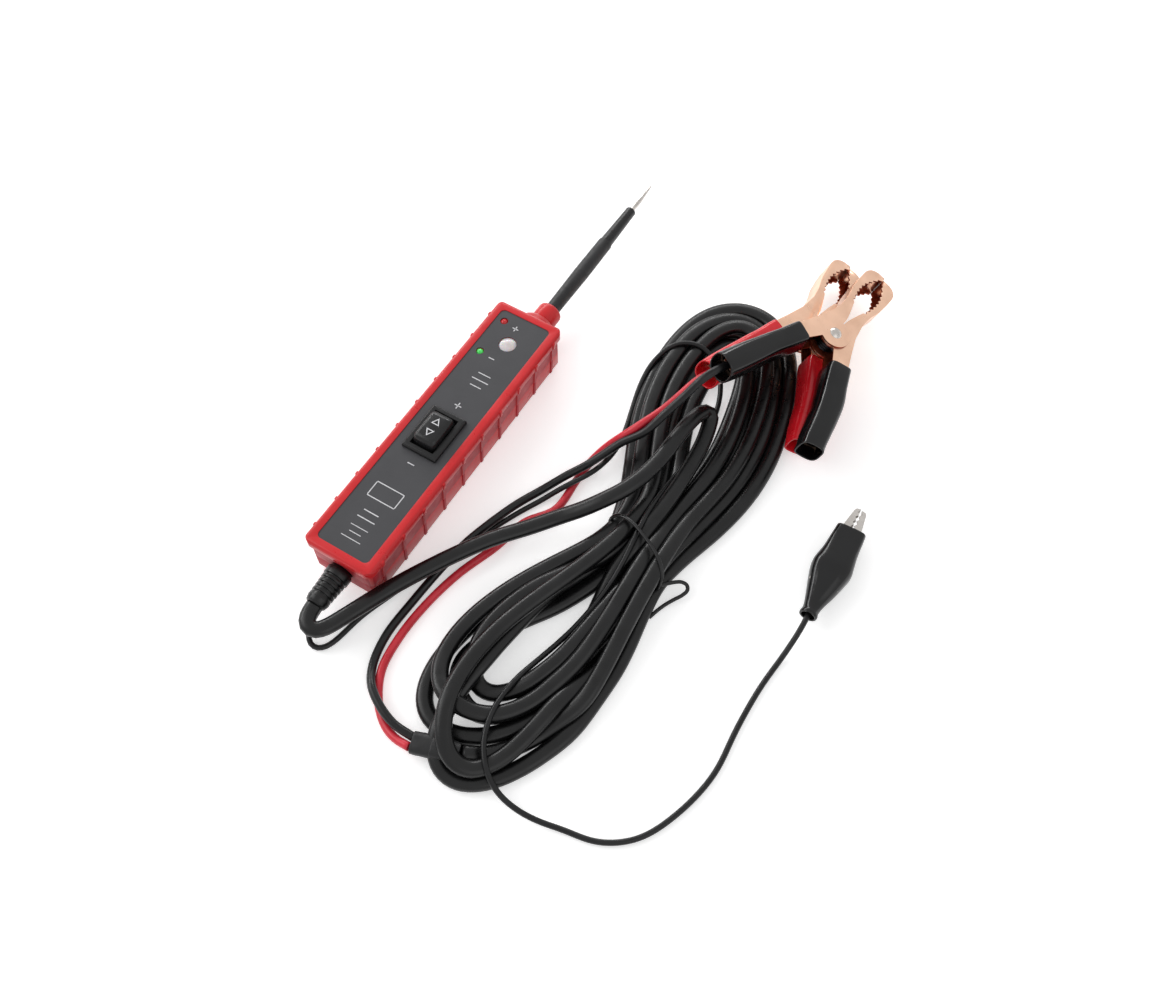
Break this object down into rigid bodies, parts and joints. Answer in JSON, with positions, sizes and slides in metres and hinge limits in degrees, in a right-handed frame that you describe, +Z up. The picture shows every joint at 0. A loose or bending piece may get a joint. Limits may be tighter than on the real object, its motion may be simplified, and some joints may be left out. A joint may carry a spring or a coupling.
{
  "type": "automotive circuit tester",
  "caption": "Hand-held automotive circuit tester: ribbed housing with rocker switch and needle probe, tied cable hank, battery clamps and a ground clip.",
  "frame": {"origin": "centre of the housing's flat underside", "axes": "+Y along the housing to the probe's tip, +X to the right across the label, +Z up through it"},
  "size_m": [0.1731, 0.2664, 0.0416],
  "materials": {
    "red_plastic": "moulded, satin gloss",
    "black_plastic": "moulded, fine grain",
    "label": "printed satin film",
    "nickel": "bright nickel plate",
    "copper": "copper-plated folded steel sheet",
    "brass": "turned or stamped",
    "cord_black": "flexible cable sheath",
    "cord_red": "flexible lead sheath",
    "boot_red": "soft glossy vinyl",
    "boot_black": "soft glossy vinyl",
    "spring_steel": "blackened spring wire",
    "board_green": "circuit board",
    "breaker_case": "moulded case",
    "lens_white": "clear-white moulded lens",
    "light_red": "tinted epoxy",
    "light_green": "tinted epoxy"
  },
  "bodies": {
    "root": {"upper_shell": "red_plastic", "lower_shell": "red_plastic", "label_plate": "label", "nose_cap": "red_plastic", "probe_rod": "nickel", "probe_sleeve": "black_plastic", "sleeve_cover": "black_plastic", "probe_socket": "brass", "circuit_board": "board_green", "red_light": "light_red", "green_light": "light_green", "lamp_lens": "lens_white", "lamp_bulb": "lens_white", "circuit_breaker": "breaker_case", "switch_body": "black_plastic", "switch_terminals": "brass", "housing_screws": "nickel", "strain_relief": "black_plastic", "main_cable": "cord_black", "cable_hank": "cord_black", "split_sleeve": "cord_black", "red_lead": "cord_red", "black_lead": "cord_black", "ground_lead": "cord_black", "ground_lead_tail": "cord_black", "twist_tie": "black_plastic", "red_fixed_jaw": "copper", "red_rivet": "nickel", "red_spring": "spring_steel", "red_fixed_boot": "boot_red", "black_fixed_jaw": "copper", "black_rivet": "nickel", "black_spring": "spring_steel", "black_fixed_boot": "boot_black", "clip_fixed_jaw": "nickel", "clip_rivet": "nickel", "clip_spring": "spring_steel", "clip_boot": "boot_black"},
    "rocker": {"rocker": "black_plastic"},
    "red_clamp_jaw": {"red_moving_jaw": "copper", "red_moving_boot": "boot_red"},
    "black_clamp_jaw": {"black_moving_jaw": "copper", "black_moving_boot": "boot_black"},
    "clip_jaw": {"clip_moving_jaw": "nickel"}
  },
  "joints": [
    {"name": "rocker_hinge", "type": "hinge", "parent": "root", "child": "rocker", "pos_m": [0, -0.003, 0.021], "axis": [1, 0, 0], "range_deg": [-8, 8], "stiffness_Nm_per_rad": 0.02},
    {"name": "red_clamp_hinge", "type": "hinge", "parent": "root", "child": "red_clamp_jaw", "pos_m": [0.0944, 0.1206, 0.0114], "axis": [-0.3404, -0.0958, -0.9354], "range_deg": [0, 34], "stiffness_Nm_per_rad": 0.3, "springref_deg": -22.92, "deforming": ["red_spring"]},
    {"name": "black_clamp_hinge", "type": "hinge", "parent": "root", "child": "black_clamp_jaw", "pos_m": [0.10604, 0.11486, 0.02144], "axis": [-0.3404, -0.0958, -0.9354], "range_deg": [0, 34], "stiffness_Nm_per_rad": 0.3, "springref_deg": -22.92, "deforming": ["black_spring"]},
    {"name": "clip_hinge", "type": "hinge", "parent": "root", "child": "clip_jaw", "pos_m": [0.1494, 0.0365, 0.0063], "axis": [0, 0, -1], "range_deg": [0, 24], "stiffness_Nm_per_rad": 0.05, "springref_deg": -17.19, "deforming": ["clip_spring", "clip_boot"]}
  ]
}
